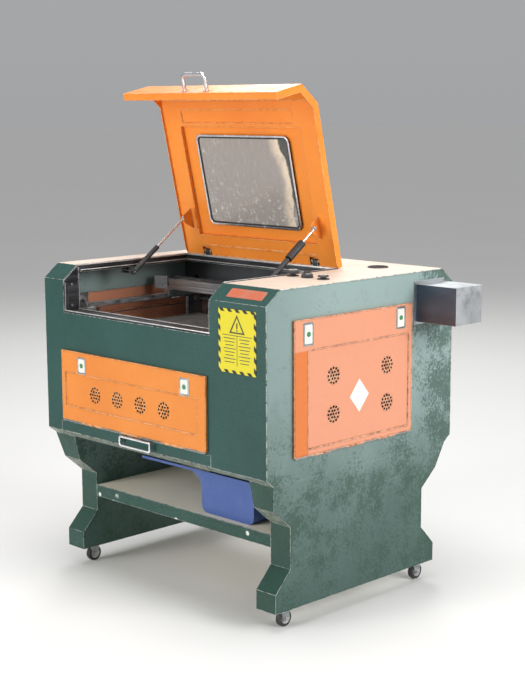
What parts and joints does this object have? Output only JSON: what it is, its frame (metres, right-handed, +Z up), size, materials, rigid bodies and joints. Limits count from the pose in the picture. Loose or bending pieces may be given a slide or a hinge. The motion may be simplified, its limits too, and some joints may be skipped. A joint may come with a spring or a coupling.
{
  "type": "laser cutter",
  "caption": "Floor-standing laser cutting and engraving machine on castors: green cabinet, orange doors and raised window lid on gas struts, gantry, lifting bed, shelf.",
  "frame": {"origin": "middle of the whole footprint at floor level, at rest (lid open)", "axes": "+X to the machine's right, +Y to its back, +Z up"},
  "size_m": [1.163, 0.89, 1.5934],
  "materials": {
    "green_paint": "hammered semi-gloss powder coat",
    "cream_paint": "fine-textured powder coat",
    "grey_paint": "matt powder coat",
    "orange_paint": "smooth powder coat",
    "bare_steel": "brushed, slightly dull",
    "chrome": "polished",
    "zinc": "zinc plated",
    "aluminium": "satin anodised",
    "dark_plastic": "matte moulded",
    "blue_plastic": "moulded",
    "rubber": "matte",
    "belt_rubber": "matte",
    "wheel_rubber": "matte",
    "smoked_window": "smoked acrylic",
    "tube_glass": "clear glass"
  },
  "bodies": {
    "cabinet": {"side_frame_left": "green_paint", "side_frame_right": "green_paint", "front_panel": "green_paint", "rear_panel": "green_paint", "deck_plate": "cream_paint", "bottom_pan": "green_paint", "bay_partition": "grey_paint", "chamber_rear_wall": "grey_paint", "shelf_frame": "green_paint", "shelf_board": "cream_paint", "opening_trim": "bare_steel", "opening_gasket": "rubber", "tube_box": "bare_steel", "laser_tube": "tube_glass", "tube_clamps": "dark_plastic", "fixed_mirror": "aluminium", "bay_electronics": "zinc", "y_rails": "zinc", "y_belts": "belt_rubber", "step_motor": "dark_plastic", "lift_screws": "zinc", "exhaust_spigot": "zinc", "power_inlet": "dark_plastic", "panel_screws": "zinc", "hinge_pins": "zinc", "control_bezels": "dark_plastic"},
    "lid": {"lid_shell": "orange_paint", "lid_window": "smoked_window", "lid_gasket": "rubber", "lid_handle": "chrome", "strut_brackets": "orange_paint"},
    "strut_tubes": {"strut_tubes": "dark_plastic"},
    "strut_rods": {"strut_rods": "chrome", "strut_lock_sleeve": "dark_plastic"},
    "front_door": {"front_door": "orange_paint"},
    "front_latches": {"front_latches": "zinc"},
    "right_door": {"right_door": "orange_paint"},
    "right_latches": {"right_latches": "zinc"},
    "left_door": {"left_door": "orange_paint"},
    "left_latches": {"left_latches": "zinc"},
    "drawer": {"scrap_drawer": "green_paint", "drawer_pull": "chrome"},
    "gantry": {"gantry_beam": "aluminium", "x_drive": "dark_plastic", "x_belt": "belt_rubber"},
    "laser_head": {"laser_head": "aluminium"},
    "y_drive_shaft": {"y_drive_shaft": "zinc"},
    "bed": {"honeycomb_bed": "aluminium"},
    "storage_bin": {"storage_bin": "blue_plastic"},
    "emergency_stop": {"emergency_stop": "dark_plastic"},
    "key_switch": {"key_switch": "dark_plastic"},
    "start_button": {"start_button": "dark_plastic"},
    "castor_fork_front_left": {"castor_fork_front_left": "zinc"},
    "castor_wheel_front_left": {"castor_wheel_front_left": "wheel_rubber"},
    "castor_fork_rear_left": {"castor_fork_rear_left": "zinc"},
    "castor_wheel_rear_left": {"castor_wheel_rear_left": "wheel_rubber"},
    "castor_fork_front_right": {"castor_fork_front_right": "zinc"},
    "castor_wheel_front_right": {"castor_wheel_front_right": "wheel_rubber"},
    "castor_fork_rear_right": {"castor_fork_rear_right": "zinc"},
    "castor_wheel_rear_right": {"castor_wheel_rear_right": "wheel_rubber"}
  },
  "joints": [
    {"name": "lid_hinge", "type": "hinge", "parent": "cabinet", "child": "lid", "pos_m": [-0.1365, 0.115, 1.014], "axis": [1, 0, 0], "range_deg": [0, 77.4]},
    {"name": "strut_foot_pivot", "type": "hinge", "parent": "cabinet", "child": "strut_tubes", "pos_m": [-0.1365, -0.17, 0.96], "axis": [1, 0, 0], "range_deg": [-30.37, 0]},
    {"name": "strut_rod_slide", "type": "slide", "parent": "strut_tubes", "child": "strut_rods", "axis": [0, 0.8089, 0.588], "range_m": [-0.1092, 0]},
    {"name": "front_door_hinge", "type": "hinge", "parent": "cabinet", "child": "front_door", "pos_m": [-0.1475, -0.431, 0.506], "axis": [1, 0, 0], "range_deg": [0, 90]},
    {"name": "right_door_hinge", "type": "hinge", "parent": "cabinet", "child": "right_door", "pos_m": [0.4335, -0.065, 0.51], "axis": [0, 1, 0], "range_deg": [0, 90]},
    {"name": "left_door_hinge", "type": "hinge", "parent": "cabinet", "child": "left_door", "pos_m": [-0.5785, -0.065, 0.51], "axis": [0, -1, 0], "range_deg": [0, 90]},
    {"name": "front_latch_push", "type": "slide", "parent": "front_door", "child": "front_latches", "axis": [0, 1, 0], "range_m": [0, 0.004], "stiffness_N_per_m": 400},
    {"name": "right_latch_push", "type": "slide", "parent": "right_door", "child": "right_latches", "axis": [-1, 0, 0], "range_m": [0, 0.004], "stiffness_N_per_m": 400},
    {"name": "left_latch_push", "type": "slide", "parent": "left_door", "child": "left_latches", "axis": [1, 0, 0], "range_m": [0, 0.004], "stiffness_N_per_m": 400},
    {"name": "drawer_slide", "type": "slide", "parent": "cabinet", "child": "drawer", "axis": [0, -1, 0], "range_m": [0, 0.45]},
    {"name": "bin_slide", "type": "slide", "parent": "cabinet", "child": "storage_bin", "axis": [0, -1, 0], "range_m": [0, 0.3]},
    {"name": "gantry_slide", "type": "slide", "parent": "cabinet", "child": "gantry", "axis": [0, 1, 0], "range_m": [-0.32, 0.09]},
    {"name": "y_shaft_spin", "type": "hinge", "parent": "cabinet", "child": "y_drive_shaft", "pos_m": [-0.1365, 0.135, 0.845], "axis": [1, 0, 0], "range_deg": [-394.1, 1396.3]},
    {"name": "head_slide", "type": "slide", "parent": "gantry", "child": "laser_head", "axis": [1, 0, 0], "range_m": [-0.44, 0.11]},
    {"name": "bed_lift", "type": "slide", "parent": "cabinet", "child": "bed", "axis": [0, 0, 1], "range_m": [-0.15, 0.02]},
    {"name": "emergency_stop_push", "type": "slide", "parent": "cabinet", "child": "emergency_stop", "axis": [0, 0, -1], "range_m": [0, 0.006]},
    {"name": "key_turn", "type": "hinge", "parent": "cabinet", "child": "key_switch", "pos_m": [0.2935, -0.12, 1], "axis": [0, 0, 1], "range_deg": [0, 90]},
    {"name": "start_button_push", "type": "slide", "parent": "cabinet", "child": "start_button", "axis": [0, 0, -1], "range_m": [0, 0.004], "stiffness_N_per_m": 300},
    {"name": "castor_swivel_front_left", "type": "hinge", "parent": "cabinet", "child": "castor_fork_front_left", "pos_m": [-0.5145, -0.315, 0.058], "axis": [0, 0, 1], "continuous": true},
    {"name": "castor_roll_front_left", "type": "hinge", "parent": "castor_fork_front_left", "child": "castor_wheel_front_left", "pos_m": [-0.5145, -0.3, 0.025], "axis": [1, 0, 0], "continuous": true},
    {"name": "castor_swivel_rear_left", "type": "hinge", "parent": "cabinet", "child": "castor_fork_rear_left", "pos_m": [-0.5145, 0.285, 0.058], "axis": [0, 0, 1], "continuous": true},
    {"name": "castor_roll_rear_left", "type": "hinge", "parent": "castor_fork_rear_left", "child": "castor_wheel_rear_left", "pos_m": [-0.5145, 0.3, 0.025], "axis": [1, 0, 0], "continuous": true},
    {"name": "castor_swivel_front_right", "type": "hinge", "parent": "cabinet", "child": "castor_fork_front_right", "pos_m": [0.3695, -0.315, 0.058], "axis": [0, 0, 1], "continuous": true},
    {"name": "castor_roll_front_right", "type": "hinge", "parent": "castor_fork_front_right", "child": "castor_wheel_front_right", "pos_m": [0.3695, -0.3, 0.025], "axis": [1, 0, 0], "continuous": true},
    {"name": "castor_swivel_rear_right", "type": "hinge", "parent": "cabinet", "child": "castor_fork_rear_right", "pos_m": [0.3695, 0.285, 0.058], "axis": [0, 0, 1], "continuous": true},
    {"name": "castor_roll_rear_right", "type": "hinge", "parent": "castor_fork_rear_right", "child": "castor_wheel_rear_right", "pos_m": [0.3695, 0.3, 0.025], "axis": [1, 0, 0], "continuous": true}
  ],
  "couplings": [
    {"joint": "strut_foot_pivot", "follows": "lid_hinge", "ratio": -0.38977},
    {"joint": "strut_rod_slide", "follows": "lid_hinge", "m_per_rad": -0.0805},
    {"joint": "y_shaft_spin", "follows": "gantry_slide", "rad_per_m": -76.046}
  ]
}
